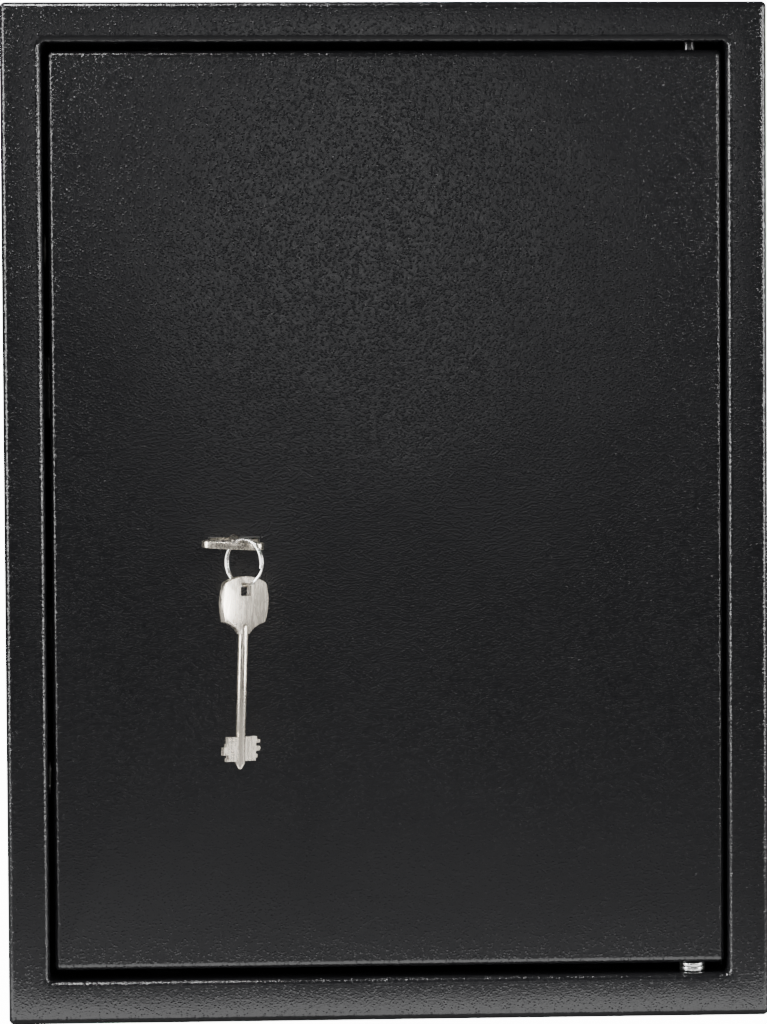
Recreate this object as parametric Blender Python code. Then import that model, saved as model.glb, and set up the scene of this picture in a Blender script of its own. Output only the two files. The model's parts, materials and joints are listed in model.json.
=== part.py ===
"""A wall safe with its door, lever lock, boltwork, two keys and their split ring.

The origin is the middle of the back face that goes against the wall. +Z is up, and the door
faces -Y. Depths count from the front of the frame towards the wall. Everything is in metres.
"""

import math

import bmesh
import bpy
from mathutils import Matrix, Vector

MM = 0.001
FIT = 0.3 * MM            # gap between two pieces that touch
ROUND = 24                # sides of a small round piece

# Case: one folded sheet, with a picture-frame front and a return into the opening
CASE_W = 360 * MM
CASE_H = 480 * MM
CASE_D = 150 * MM
CASE_SHEET = 2 * MM
FRAME_FACE = 19.4 * MM     # at the sides
FRAME_TOP = 19.2 * MM
FRAME_BOTTOM = 20.6 * MM
FRAME_RETURN = 30 * MM
BEND = 3.6 * MM
CASE_CORNER = 2.7 * MM
OPENING_CORNER = 0.5 * MM
FRONT = -CASE_D
ANCHOR_X = 110 * MM
ANCHOR_Z = 170 * MM
ANCHOR_R = 6 * MM

# Door: a pan with returns and an inward lip
DOOR_RECESS = 3 * MM
DOOR_GAP_LATCH = 2.3 * MM
DOOR_GAP_HINGE = 1.3 * MM
DOOR_GAP_TOP = 3.2 * MM
DOOR_GAP_BOTTOM = 4.4 * MM
DOOR_SHEET = 3 * MM
DOOR_BEND = 3.6 * MM
DOOR_CORNER = 2.5 * MM
DOOR_DEPTH = 28 * MM
DOOR_LIP = 12 * MM
LIP_SHEET = 2 * MM

OPEN_X = CASE_W / 2 - FRAME_FACE
OPEN_TOP = CASE_H / 2 - FRAME_TOP
OPEN_BOTTOM = -CASE_H / 2 + FRAME_BOTTOM
DOOR_LEFT = -OPEN_X + DOOR_GAP_LATCH
DOOR_RIGHT = OPEN_X - DOOR_GAP_HINGE
DOOR_TOP = OPEN_TOP - DOOR_GAP_TOP
DOOR_BOTTOM = OPEN_BOTTOM + DOOR_GAP_BOTTOM
DOOR_FRONT = FRONT + DOOR_RECESS
DOOR_INSIDE = DOOR_FRONT + DOOR_SHEET
DOOR_BACK = DOOR_FRONT + DOOR_DEPTH

# Concealed hinge: a pin at the top and one at the bottom
HINGE_X = OPEN_X - 16.1 * MM
HINGE_Y = DOOR_FRONT + 7 * MM
PIN_R = 3 * MM
PIN_REACH = 15 * MM
PIN_HEAD = 1.5 * MM
PIN_HEAD_R = 4.5 * MM
WASHER_R = 6 * MM
WASHER_THIN = 1.5 * MM
WASHER_THICK = 2.0 * MM
HINGE_BLOCK = (24 * MM, 12 * MM, 22 * MM)

# Stops that the door closes against
STOP_SHEET = 2 * MM
STOP_LEG = 22 * MM
STOP_OVERLAP = 3 * MM     # how far they reach behind the door's edge
STOP_Z = 60 * MM
STOP_HALF = 15 * MM

# Key: a flat bow, a round shank and a double bit; lengths run from the end of the bow
KEY_X = -72.5 * MM
KEY_Z = -12.5 * MM
KEY_REST_ROLL = math.radians(3)
KEY_PROUD = 60 * MM
BOW_SHEET = 3 * MM
BOW_HALF = 12.5 * MM
BOW_BULGE = 1.7 * MM
BOW_RISE = 2.9 * MM
BOW_SHOULDER = 20.7 * MM
BOW_NECK = 26.2 * MM
BOW_NECK_HALF = 2.9 * MM
SLOT_W = 6.3 * MM
SLOT_FROM = 3.2 * MM
SLOT_TO = 8.8 * MM
SHANK_R = 2.25 * MM
SHANK_FROM = 22 * MM
SHANK_TO = 85 * MM
KEY_LENGTH = 87.3 * MM
BIT_FROM = 72.6 * MM
BIT_SHEET = 1.8 * MM
# Each step of the bit: how far it runs along the key, and how far it reaches from the axis
BIT_STEPS_A = ((1.4, 9.5), (1.7, 11.5), (1.3, 9.0), (2.3, 11.5), (1.4, 9.0), (1.7, 10.0), (1.3, 9.0))
BIT_STEPS_B = ((3.0, 8.7), (1.5, 9.5), (3.6, 11.1), (1.5, 8.0), (1.5, 8.9))
BIT_TO = BIT_FROM + sum(run for run, reach in BIT_STEPS_A) * MM

# Keyhole and the lock behind it
HOLE_SLOT_W = 23.8 * MM
HOLE_SLOT_H = 3.2 * MM
HOLE_R = 2.7 * MM
TURN_R = 12.3 * MM
CURTAIN_R = 7 * MM
LOCK_LEFT = -96 * MM
LOCK_RIGHT = -38 * MM
LOCK_BOTTOM = -38 * MM
LOCK_TOP = 62 * MM
LOCK_WALL = 2 * MM
LOCK_BACK = FRONT + 27.4 * MM
LOCK_COVER = 1.5 * MM
LOCK_EAR = 12 * MM
LEVERS = 5
LEVER_SHEET = 1.8 * MM
LEVER_FROM = FRONT + 15.8 * MM
LEVER_POST_X = -48 * MM
LEVER_POST_Z = 44 * MM
LEVER_POST_R = 3 * MM
LEVER_HEEL = 14 * MM      # chamfer below the pivot
LEVER_FOOT = 7 * MM       # from the key's axis up to the lower edge
LEVER_TOE = 26 * MM       # height of the upper edge at the free end
COMB_Z = 56 * MM
COMB_SHEET = 0.8 * MM
COMB_BACK = 6 * MM        # the part that the fingers are joined by
CURTAIN_SIDES = 32

# Boltwork
BOLT_R = 7 * MM
BOLT_Y = FRONT + 17.5 * MM
BOLT_Z = 125 * MM
BOLT_TIP = DOOR_LEFT + 0.8 * MM
BOLT_THROW = 16 * MM
STRIKE_R = 7.8 * MM
CARRIER_X = -122 * MM
CARRIER_SHEET = 3 * MM
CARRIER_WEB = 14 * MM
CARRIER_TAB = 32 * MM
CARRIER_TAB_HALF = 12 * MM
CARRIER_HALF = 145 * MM
POST_X = CARRIER_X + 5.5 * MM
POST_Z = 95 * MM
POST_R = 5 * MM
POST_NECK_R = 3 * MM
TRAVEL_PLAY = 1 * MM
LOCK_BOLT_END = -50 * MM

# Screws, all of one thickness
SCREW_R = 2 * MM
SCREW_HEAD = 1.5 * MM
LOCK_SCREW = 12 * MM
COVER_SCREW = 7 * MM
SCREW_SIDES = 16

# Inner cover plate of the door
COVER_INSET = 5 * MM
COVER_SHEET = 1.5 * MM
COVER_CORNER = 4 * MM
COVER_SCREW_INSET = 8.5 * MM
COVER_SCREW_Z = 190 * MM
COVER_FRONT = DOOR_BACK + FIT

# Ring and spare key
RING_R = 10.5 * MM        # to the middle of the wire
RING_WIRE_R = 1.2 * MM    # wire's size outwards
RING_WIRE_A = 0.95 * MM   # wire's size along the ring's axis
RING_PITCH = 1.05 * MM
RING_JOG = math.radians(20)      # half of the stretch in which the wire crosses over
RING_END = math.radians(24)      # from the middle of the jog to each end of the wire
RING_JOG_AT = math.radians(-36)
RING_YAW = math.radians(-41)
RING_X = KEY_X + 5 * MM
RING_Y = DOOR_FRONT - KEY_PROUD + 1.7 * MM
RING_DROP = 7.6 * MM
SPARE_YAW = math.radians(44)
SPARE_LEAN = math.radians(2.4)
SPARE_SLACK = 0.6 * MM    # between the ring and the edge of the slot that hangs on it

# Inside
SHELF_Z = 12 * MM
SHELF_SHEET = 1.5 * MM
SHELF_LIP = 12 * MM
SHELF_GAP = 8 * MM        # behind the closed door
BRACKET_LEG = 14 * MM
BRACKET_INSET = 6 * MM
MAT_SHEET = 3 * MM
MAT_GAP = 4 * MM          # behind the frame's return


def clear_scene():
    for obj in list(bpy.data.objects):
        bpy.data.objects.remove(obj, do_unlink=True)


def material(name, colour, roughness, metallic):
    made = bpy.data.materials.new(name)
    made.use_nodes = True
    shader = made.node_tree.nodes["Principled BSDF"]
    shader.inputs["Base Color"].default_value = (*colour, 1)
    shader.inputs["Roughness"].default_value = roughness
    shader.inputs["Metallic"].default_value = metallic
    made.diffuse_color = (*colour, 1)
    return made


def pivot(name, place, parent=None):
    """An empty on a joint's axis, which carries the pieces that move about it."""
    empty = bpy.data.objects.new(name, None)
    empty.empty_display_size = 0.02
    bpy.context.collection.objects.link(empty)
    empty.parent = parent
    empty.location = Vector(place) - (world_place(parent) if parent else Vector())
    return empty


def world_place(obj):
    place = Vector()
    while obj:
        place += obj.location
        obj = obj.parent
    return place


def add(name, bm, paint, carrier):
    """Makes a piece from a mesh in world space, with its origin at the empty that carries it."""
    bmesh.ops.recalc_face_normals(bm, faces=bm.faces)
    bmesh.ops.translate(bm, verts=bm.verts, vec=-world_place(carrier))
    mesh = bpy.data.meshes.new(name)
    bm.to_mesh(mesh)
    bm.free()
    mesh.shade_smooth()
    mesh.set_sharp_from_angle(angle=math.radians(35))
    obj = bpy.data.objects.new(name, mesh)
    bpy.context.collection.objects.link(obj)
    obj.parent = carrier
    if paint:
        mesh.materials.append(paint)
    return obj


def cutter(name, bm):
    obj = add(name, bm, None, None)
    obj.hide_render = True
    obj.display_type = "WIRE"
    return obj


def cut(obj, *cutters):
    for tool in cutters:
        modifier = obj.modifiers.new(tool.name, "BOOLEAN")
        modifier.operation = "DIFFERENCE"
        modifier.object = tool


def union(obj, tool):
    modifier = obj.modifiers.new(tool.name, "BOOLEAN")
    modifier.operation = "UNION"
    modifier.object = tool


def block(x0, x1, y0, y1, z0, z1):
    bm = bmesh.new()
    size = Vector((x1 - x0, y1 - y0, z1 - z0))
    middle = Vector((x0 + x1, y0 + y1, z0 + z1)) / 2
    bmesh.ops.create_cube(bm, size=1, matrix=Matrix.Translation(middle) @ Matrix.Diagonal((*size, 1)))
    return bm


AXES = {"X": Vector((1, 0, 0)), "Y": Vector((0, 1, 0)), "Z": Vector((0, 0, 1))}


def turned(profile, start, axis, sides=ROUND):
    """A solid of revolution. The profile is (along, radius) pairs, along AXIS from START."""
    along = AXES[axis]
    side = AXES["Z"] if axis == "Y" else AXES["Y"] if axis == "X" else AXES["X"]
    other = along.cross(side)
    bm = bmesh.new()
    loops = []
    for far, radius in profile:
        middle = Vector(start) + along * far
        angles = [2 * math.pi * i / sides for i in range(sides)]
        loops.append([
            bm.verts.new(middle + radius * (math.cos(a) * side + math.sin(a) * other)) for a in angles
        ])
    for low, high in zip(loops, loops[1:]):
        bridge(bm, low, high)
    bm.faces.new(loops[0])
    bm.faces.new(loops[-1])
    return bm


def bridge(bm, low, high):
    count = len(low)
    for i in range(count):
        j = (i + 1) % count
        bm.faces.new((low[i], low[j], high[j], high[i]))


def rod(start, axis, length, radius, sides=ROUND):
    return turned(((0, radius), (length, radius)), start, axis, sides)


def sleeve(start, axis, length, radius, bore, sides=ROUND):
    """A tube, open at both ends."""
    bm = turned(((0, radius), (length, radius)), start, axis, sides)
    inner = turned(((0, bore), (length, bore)), start, axis, sides)
    for mesh in (bm, inner):
        caps = [face for face in mesh.faces if len(face.verts) == sides]
        bmesh.ops.delete(mesh, geom=caps, context="FACES_ONLY")
    outer_verts = list(bm.verts)
    inner_verts = [bm.verts.new(vert.co) for vert in inner.verts]
    inner.free()
    bridge(bm, inner_verts[:sides], inner_verts[sides:])
    bridge(bm, outer_verts[:sides], inner_verts[:sides])
    bridge(bm, outer_verts[sides:], inner_verts[sides:])
    return bm


def plate(outline, y0, y1):
    """A flat plate, parallel to the door, from an outline of (x, z) points."""
    bm = bmesh.new()
    front = [bm.verts.new((x, y0, z)) for x, z in outline]
    back = [bm.verts.new((x, y1, z)) for x, z in outline]
    bridge(bm, front, back)
    bm.faces.new(front)
    bm.faces.new(back)
    return bm


def arc(cx, cy, radius, start, end, steps):
    """Points on an arc, angles in degrees."""
    angles = [math.radians(start + (end - start) * i / steps) for i in range(steps + 1)]
    return [(cx + radius * math.cos(a), cy + radius * math.sin(a)) for a in angles]


def rounded_loop(bm, box, inset, radius, y, steps=3):
    """One loop round a rectangle that is inset from BOX, with round corners."""
    left, right, bottom, top = box
    reach = inset + radius
    centres = (
        (right - reach, top - reach),
        (left + reach, top - reach),
        (left + reach, bottom + reach),
        (right - reach, bottom + reach),
    )
    points = []
    for quarter, (x, z) in enumerate(centres):
        points += arc(x, z, radius, 90 * quarter, 90 * quarter + 90, steps)
    return [bm.verts.new((x, y, z)) for x, z in points]


def folded_section(face, sheet, bend, steps=4):
    """(inset, depth) of the case's front fold: down the side, round to the face, into the opening."""
    inner = bend - sheet
    outside = [(0, CASE_D)] + arc(bend, bend, bend, 180, 270, steps)
    outside += arc(face - bend, bend, bend, 270, 360, steps) + [(face, FRAME_RETURN)]
    inside = [(face - sheet, FRAME_RETURN)] + arc(face - bend, bend, inner, 360, 270, steps)
    inside += arc(bend, bend, inner, 270, 180, steps) + [(sheet, CASE_D)]
    return outside + inside


def body_shell(paint):
    outside = (-CASE_W / 2, CASE_W / 2, -CASE_H / 2, CASE_H / 2)
    opening = (-OPEN_X, OPEN_X, OPEN_BOTTOM, OPEN_TOP)
    bm = bmesh.new()
    loops = []
    for inset, deep in folded_section(FRAME_FACE, CASE_SHEET, BEND):
        if inset < FRAME_FACE / 2:
            box, step, radius = outside, inset, max(CASE_CORNER - inset, 0.2 * MM)
        else:
            box, step, radius = opening, inset - FRAME_FACE, OPENING_CORNER + FRAME_FACE - inset
        loops.append(rounded_loop(bm, box, step, radius, FRONT + deep))
    for low, high in zip(loops, loops[1:] + loops[:1]):
        bridge(bm, low, high)
    shell = add("body_shell", bm, paint, None)
    for name, z in (("strike_cut_upper", BOLT_Z), ("strike_cut_lower", -BOLT_Z)):
        cut(shell, cutter(name, rod((-OPEN_X - 5 * MM, BOLT_Y, z), "X", 8 * MM, STRIKE_R)))
    for name, z in (("pin_cut_upper", OPEN_TOP - 3 * MM), ("pin_cut_lower", OPEN_BOTTOM - 5 * MM)):
        cut(shell, cutter(name, rod((HINGE_X, HINGE_Y, z), "Z", 8 * MM, PIN_R + FIT)))


def back_panel(paint):
    edge = CASE_SHEET + FIT
    x, z = CASE_W / 2 - edge, CASE_H / 2 - edge
    panel = add("back_panel", block(-x, x, -CASE_SHEET, 0, -z, z), paint, None)
    for i, (sx, sz) in enumerate(((-1, 1), (1, 1), (-1, -1), (1, -1))):
        hole = rod((sx * ANCHOR_X, -2 * CASE_SHEET, sz * ANCHOR_Z), "Y", 3 * CASE_SHEET, ANCHOR_R)
        cut(panel, cutter(f"anchor_cut_{i + 1}", hole))


def door_panel(paint, carrier):
    box = (DOOR_LEFT, DOOR_RIGHT, DOOR_BOTTOM, DOOR_TOP)
    inner = 0.4 * MM
    section = arc(DOOR_BEND, DOOR_BEND, DOOR_BEND, 270, 180, 4)
    section += [(0, DOOR_DEPTH), (DOOR_LIP, DOOR_DEPTH), (DOOR_LIP, DOOR_DEPTH - LIP_SHEET)]
    section += [(LIP_SHEET, DOOR_DEPTH - LIP_SHEET), (LIP_SHEET, DOOR_SHEET + inner)]
    section += [(LIP_SHEET + inner, DOOR_SHEET)]
    bm = bmesh.new()
    loops = [
        rounded_loop(bm, box, inset, max(DOOR_CORNER - inset, inner), DOOR_FRONT + deep)
        for inset, deep in section
    ]
    for low, high in zip(loops, loops[1:]):
        bridge(bm, low, high)
    bm.faces.new(loops[0])
    bm.faces.new(loops[-1])
    door = add("door_panel", bm, paint, carrier)
    keyhole = keyhole_outline()
    cut(door, cutter("keyhole_cut", plate(keyhole, DOOR_FRONT - MM, DOOR_INSIDE + MM)))
    for name, z in (("door_bolt_cut_upper", BOLT_Z), ("door_bolt_cut_lower", -BOLT_Z)):
        cut(door, cutter(name, rod((DOOR_LEFT - MM, BOLT_Y, z), "X", 5 * MM, BOLT_R + FIT)))
    for name, z in (("door_pin_cut_upper", DOOR_TOP - 4 * MM), ("door_pin_cut_lower", DOOR_BOTTOM - MM)):
        cut(door, cutter(name, rod((HINGE_X, HINGE_Y, z), "Z", 5 * MM, PIN_R + FIT)))
    for i, (x, z) in enumerate(cover_screw_places()):
        hole = rod((x, DOOR_BACK - LIP_SHEET - MM, z), "Y", LIP_SHEET + 2 * MM, SCREW_R + FIT, SCREW_SIDES)
        cut(door, cutter(f"lip_screw_cut_{i + 1}", hole))


def keyhole_outline():
    """A round middle with a slot to each side."""
    half = HOLE_SLOT_H / 2
    meet = math.degrees(math.asin(half / HOLE_R))
    top = arc(0, 0, HOLE_R, meet, 180 - meet, 8)
    bottom = arc(0, 0, HOLE_R, 180 + meet, 360 - meet, 8)
    end = HOLE_SLOT_W / 2
    points = [(end, half)] + top + [(-end, half), (-end, -half)] + bottom + [(end, -half)]
    return [(KEY_X + x, KEY_Z + z) for x, z in points]


def hinge(pin_paint, paint, carrier):
    """Pins fixed in the frame, the blocks in the door that turn on them, and two washers under the door."""
    for name, sign in (("upper", 1), ("lower", -1)):
        face = OPEN_TOP if sign > 0 else OPEN_BOTTOM
        edge = DOOR_TOP if sign > 0 else DOOR_BOTTOM
        gap = abs(face - edge)
        head = CASE_SHEET + FIT
        profile = [(-head - PIN_HEAD, PIN_HEAD_R), (-head, PIN_HEAD_R), (-head, PIN_R)]
        profile += [(gap + PIN_REACH - MM, PIN_R), (gap + PIN_REACH, PIN_R - MM)]
        profile = [(-sign * far, radius) for far, radius in profile]
        add(f"hinge_pin_{name}", turned(profile, (HINGE_X, HINGE_Y, face), "Z"), pin_paint, None)
        wide, deep, tall = HINGE_BLOCK
        near = edge - sign * (LIP_SHEET + FIT)
        z0, z1 = sorted((near, near - sign * tall))
        right = DOOR_RIGHT - LIP_SHEET - FIT
        y0 = DOOR_INSIDE + FIT
        body = block(right - wide, right, y0, y0 + deep, z0, z1)
        piece = add(f"hinge_block_{name}", body, paint, carrier)
        start = min(near + sign * MM, near - sign * PIN_REACH)
        bore = rod((HINGE_X, HINGE_Y, start), "Z", PIN_REACH + MM, PIN_R + FIT / 2)
        cut(piece, cutter(f"block_bore_{name}", bore))
    low = OPEN_BOTTOM + FIT
    for name, thick in (("thick", WASHER_THICK), ("thin", WASHER_THIN)):
        washer = sleeve((HINGE_X, HINGE_Y, low), "Z", thick, WASHER_R, PIN_R + FIT)
        add(f"hinge_washer_{name}", washer, paint, None)
        low += thick + FIT


def door_stops(paint):
    """Angles on the hidden side of the latch-side return, which the door's lip closes against."""
    wall = -OPEN_X - CASE_SHEET - FIT
    near = DOOR_BACK + 2 * FIT
    tip = DOOR_LEFT + STOP_OVERLAP
    outline = [(wall - STOP_SHEET, near - STOP_LEG), (wall, near - STOP_LEG), (wall, near), (tip, near)]
    outline += [(tip, near + STOP_SHEET), (wall - STOP_SHEET, near + STOP_SHEET)]
    for name, z in (("upper", STOP_Z), ("lower", -STOP_Z)):
        bm = bmesh.new()
        low = [bm.verts.new((x, y, z - STOP_HALF)) for x, y in outline]
        high = [bm.verts.new((x, y, z + STOP_HALF)) for x, y in outline]
        bridge(bm, low, high)
        bm.faces.new(low)
        bm.faces.new(high)
        add(f"door_stop_{name}", bm, paint, None)


def cover_screw_places():
    left, right = DOOR_LEFT + COVER_SCREW_INSET, DOOR_RIGHT - COVER_SCREW_INSET
    return [(x, z) for x in (left, right) for z in (-COVER_SCREW_Z, 0, COVER_SCREW_Z)]


def inner_cover(paint, screw_paint, carrier):
    """The plate that closes the back of the door, held to the lip by six screws."""
    box = (DOOR_LEFT, DOOR_RIGHT, DOOR_BOTTOM, DOOR_TOP)
    back = COVER_FRONT + COVER_SHEET
    bm = bmesh.new()
    loops = [rounded_loop(bm, box, COVER_INSET, COVER_CORNER, y) for y in (COVER_FRONT, back)]
    bridge(bm, *loops)
    bm.faces.new(loops[0])
    bm.faces.new(loops[1])
    cover = add("inner_cover", bm, paint, carrier)
    for i, (x, z) in enumerate(cover_screw_places()):
        hole = rod((x, COVER_FRONT - MM, z), "Y", COVER_SHEET + 2 * MM, SCREW_R + FIT, SCREW_SIDES)
        cut(cover, cutter(f"cover_screw_cut_{i + 1}", hole))
        screw(f"cover_screw_{i + 1}", x, z, back, COVER_SCREW, screw_paint, carrier)


def lock(case_paint, brass, carrier):
    """The lever lock's case, its cover, and the levers inside."""
    front = DOOR_INSIDE + FIT
    wall = LOCK_WALL
    body = block(LOCK_LEFT, LOCK_RIGHT, front, LOCK_BACK, LOCK_BOTTOM, LOCK_TOP)
    case = add("lock_case", body, case_paint, carrier)
    hollow = block(LOCK_LEFT + wall, LOCK_RIGHT - wall, front + wall, LOCK_BACK + MM, LOCK_BOTTOM + wall,
                   LOCK_TOP - wall)
    cut(case, cutter("lock_hollow_cut", hollow))
    nose = rod((KEY_X, front - MM, KEY_Z), "Y", wall + 2 * MM, CURTAIN_R + FIT, CURTAIN_SIDES)
    cut(case, cutter("lock_nose_cut", nose))
    bit_slot = plate(keyhole_outline(), front - MM, front + wall + MM)
    cut(case, cutter("lock_bit_slot_cut", bit_slot))
    z0, z1, y0, y1 = lock_bolt_section()
    slot = block(LOCK_LEFT - MM, LOCK_LEFT + wall + MM, y0 - FIT, y1 + FIT, z0 - FIT, z1 + FIT)
    cut(case, cutter("lock_bolt_cut", slot))
    y0 = LOCK_BACK + FIT
    ears = block(LOCK_LEFT, LOCK_RIGHT, y0, y0 + LOCK_COVER, LOCK_BOTTOM - LOCK_EAR, LOCK_TOP + LOCK_EAR)
    cover = add("lock_cover", ears, case_paint, carrier)
    rear = rod((KEY_X, y0 - MM, KEY_Z), "Y", LOCK_COVER + 2 * MM, CURTAIN_R + FIT, CURTAIN_SIDES)
    cut(cover, cutter("lock_rear_cut", rear))
    for i, (x, z) in enumerate(lock_screw_places()):
        hole = rod((x, y0 - MM, z), "Y", LOCK_COVER + 2 * MM, SCREW_R + FIT, SCREW_SIDES)
        cut(cover, cutter(f"lock_screw_cut_{i + 1}", hole))
        post = sleeve((x, front, z), "Y", LOCK_BACK - front, 2 * SCREW_R, SCREW_R + FIT, SCREW_SIDES)
        add(f"lock_post_{i + 1}", post, case_paint, carrier)
        screw(f"lock_screw_{i + 1}", x, z, y0 + LOCK_COVER, LOCK_SCREW, case_paint, carrier)
    foot = front + wall + FIT
    post = rod((LEVER_POST_X, foot, LEVER_POST_Z), "Y", LOCK_BACK - foot, LEVER_POST_R)
    add("lever_post", post, case_paint, carrier)
    for i in range(LEVERS):
        lever(i, brass, carrier)
    spring_comb(brass, carrier)


def lever(index, paint, carrier):
    """One lever: pivoted at the upper right, with a window for the bolt's stump and a round belly."""
    y0 = LEVER_FROM + index * (LEVER_SHEET + FIT)
    y1 = y0 + LEVER_SHEET
    left, right = LOCK_LEFT + LOCK_WALL + MM, LOCK_RIGHT - LOCK_WALL - MM
    low = KEY_Z + LEVER_FOOT
    rise = math.degrees(math.asin(LEVER_FOOT / TURN_R))
    outline = [(left, low)] + arc(KEY_X, KEY_Z, TURN_R, 180 - rise, rise, 12)
    outline += [(right - LEVER_HEEL, low), (right, low + LEVER_HEEL)]
    outline += [(right, LEVER_POST_Z + 4 * MM), (right - 6 * MM, LEVER_POST_Z + 9 * MM)]
    outline += [(LEVER_POST_X - 10 * MM, LEVER_POST_Z + 8 * MM)]
    outline += [(left + 8 * MM, LEVER_TOE + 6 * MM), (left, LEVER_TOE)]
    piece = add(f"lever_{index + 1}", plate(outline, y0, y1), paint, carrier)
    hole = rod((LEVER_POST_X, y0 - MM, LEVER_POST_Z), "Y", LEVER_SHEET + 2 * MM, LEVER_POST_R + FIT / 2)
    cut(piece, cutter(f"lever_post_cut_{index + 1}", hole))
    x0, x1, z0, z1 = stump_section()
    play = TRAVEL_PLAY
    window = block(x0 - BOLT_THROW - play, x1 + play, y0 - MM, y1 + MM, z0 - play, z1 + play)
    cut(piece, cutter(f"lever_window_cut_{index + 1}", window))


def spring_comb(paint, carrier):
    """A stamped comb spring, with one finger on each lever."""
    x0, x1 = LOCK_LEFT + 14 * MM, LOCK_RIGHT - 24 * MM
    top = COMB_Z + COMB_SHEET
    full = LEVER_FROM + LEVERS * (LEVER_SHEET + FIT)
    comb = add("lever_spring_comb", block(x0, x1, LEVER_FROM, full, COMB_Z, top), paint, carrier)
    for i in range(1, LEVERS):
        y = LEVER_FROM + i * (LEVER_SHEET + FIT)
        gap = block(x0 - MM, x1 - COMB_BACK, y - FIT, y + FIT, COMB_Z - MM, top + MM)
        cut(comb, cutter(f"comb_cut_{i}", gap))


def lock_bolt_section():
    """(z0, z1, y0, y1) of the bolt's bar, above the key's circle and in front of the levers."""
    return 2 * MM, 22 * MM, FRONT + 10 * MM, FRONT + 15 * MM


def stump_section():
    """(x0, x1, z0, z1) of the stump that goes through the levers' windows."""
    return -66 * MM, -60 * MM, 9 * MM, 15 * MM


def lock_screw_places():
    xs = (LOCK_LEFT + 7 * MM, LOCK_RIGHT - 7 * MM)
    zs = (LOCK_BOTTOM - LOCK_EAR / 2, LOCK_TOP + LOCK_EAR / 2)
    return [(x, z) for x in xs for z in zs]


def screw(name, x, z, face, length, paint, carrier):
    """A pan-head screw that goes in along -Y, with its head on the plane y = FACE."""
    head = face + FIT / 3
    profile = ((face - length, SCREW_R), (head, SCREW_R), (head, 2 * SCREW_R),
               (head + 0.7 * SCREW_HEAD, 2 * SCREW_R), (head + SCREW_HEAD, 1.3 * SCREW_R))
    add(name, turned(profile, (x, 0, z), "Y", SCREW_SIDES), paint, carrier)


def boltwork(paint, carrier):
    """Two round bolts on a carrier with two slotted tabs, and the lock's own bolt that drives it."""
    web_y0, web_y1 = carrier_depths()
    web_x = CARRIER_X - CARRIER_SHEET
    web = block(web_x, CARRIER_X, web_y0, web_y1, -CARRIER_HALF, CARRIER_HALF)
    bar = add("bolt_carrier", web, paint, carrier)
    tab_y = web_y1 - CARRIER_SHEET
    neck = BOLT_R / 2
    shoulder = web_x - FIT - BOLT_TIP
    profile = ((0, BOLT_R - 1.5 * MM), (1.5 * MM, BOLT_R), (shoulder, BOLT_R),
               (shoulder, neck), (CARRIER_X + 1.5 * MM - BOLT_TIP, neck))
    for name, sign in (("upper", 1), ("lower", -1)):
        z = sign * POST_Z
        low, high = z - CARRIER_TAB_HALF, z + CARRIER_TAB_HALF
        tab = block(web_x, CARRIER_X + CARRIER_TAB, tab_y, web_y1, low, high)
        union(bar, cutter(f"carrier_tab_join_{name}", tab))
        cut(bar, cutter(f"carrier_slot_cut_{name}", travel_slot(z, tab_y - MM, web_y1 + MM)))
        z = sign * BOLT_Z
        add(f"bolt_{name}", turned(profile, (BOLT_TIP, BOLT_Y, z), "X"), paint, carrier)
        hole = rod((web_x - MM, BOLT_Y, z), "X", CARRIER_SHEET + 2 * MM, neck + FIT)
        cut(bar, cutter(f"carrier_bolt_cut_{name}", hole))
    z0, z1, y0, y1 = lock_bolt_section()
    x0, x1, low, high = stump_section()
    bolt = add("lock_bolt", block(CARRIER_X + FIT, LOCK_BOLT_END, y0, y1, z0, z1), paint, carrier)
    stump = block(x0, x1, y1 - MM, LEVER_FROM + LEVERS * (LEVER_SHEET + FIT), low, high)
    union(bolt, cutter("bolt_stump_join", stump))


def carrier_depths():
    return BOLT_Y - CARRIER_WEB / 2, BOLT_Y + CARRIER_WEB / 2


def travel_slot(z, y0, y1):
    """A slot with round ends, as long as the bolts' throw, for the neck of a guide post."""
    radius = POST_NECK_R + FIT
    left, right = POST_X - TRAVEL_PLAY, POST_X + BOLT_THROW + TRAVEL_PLAY
    outline = [(right + x, z + dz) for x, dz in arc(0, 0, radius, -90, 90, 8)]
    outline += [(left + x, z + dz) for x, dz in arc(0, 0, radius, 90, 270, 8)]
    return plate(outline, y0, y1)


def boltwork_guides(steel, brass, carrier):
    """What the boltwork slides in: a bush round each bolt, and a shouldered post in each slot."""
    bush_x = DOOR_LEFT + LIP_SHEET + FIT
    front = DOOR_INSIDE + FIT
    back = carrier_depths()[1]
    shoulder = back - CARRIER_SHEET - FIT - front
    neck = back + FIT + 2.5 * MM - front
    for name, sign in (("upper", 1), ("lower", -1)):
        bush = sleeve((bush_x, BOLT_Y, sign * BOLT_Z), "X", 6 * MM, BOLT_R + 2.5 * MM, BOLT_R + FIT)
        add(f"bolt_bush_{name}", bush, brass, carrier)
        profile = ((0, POST_R), (shoulder, POST_R), (shoulder, POST_NECK_R), (neck, POST_NECK_R))
        foot = (POST_X, front, sign * POST_Z)
        add(f"guide_post_{name}", turned(profile, foot, "Y"), steel, carrier)
        collar = sleeve((POST_X, back + FIT, sign * POST_Z), "Y", 2.5 * MM, POST_R, POST_NECK_R + FIT / 2)
        add(f"guide_collar_{name}", collar, steel, carrier)


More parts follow.
